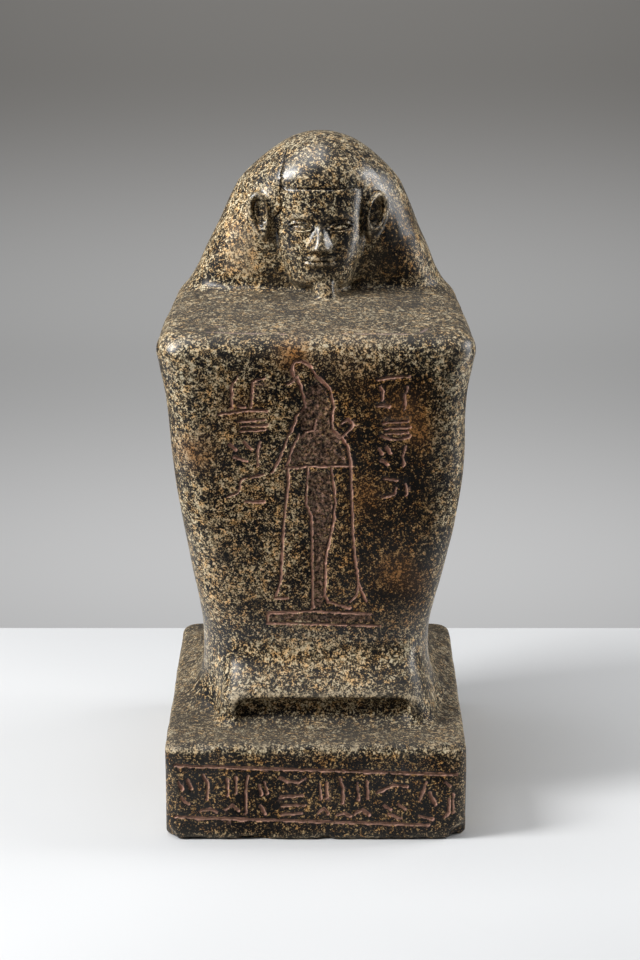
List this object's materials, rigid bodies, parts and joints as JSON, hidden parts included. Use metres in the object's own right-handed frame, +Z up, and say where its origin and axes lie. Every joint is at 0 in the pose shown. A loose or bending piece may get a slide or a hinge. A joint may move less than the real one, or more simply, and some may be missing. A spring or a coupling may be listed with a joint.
{
  "type": "block statue",
  "caption": "Squatting figure wrapped in a cloak, with a bag wig, carved with its plinth from one dark speckled stone, with an incised standing figure and bands of plain strokes",
  "frame": {"origin": "middle of the statue's box on its underside", "axes": "+X to the right of someone facing the statue, -Y the way the figure faces, +Z up"},
  "size_m": [0.195, 0.247, 0.4172],
  "materials": {
    "speckled_stone": "worn semi-polished dark stone with cream, tan and black grains, reddish deposits in the cut lines"
  },
  "bodies": {
    "root": {"block_statue": "speckled_stone"}
  },
  "joints": []
}
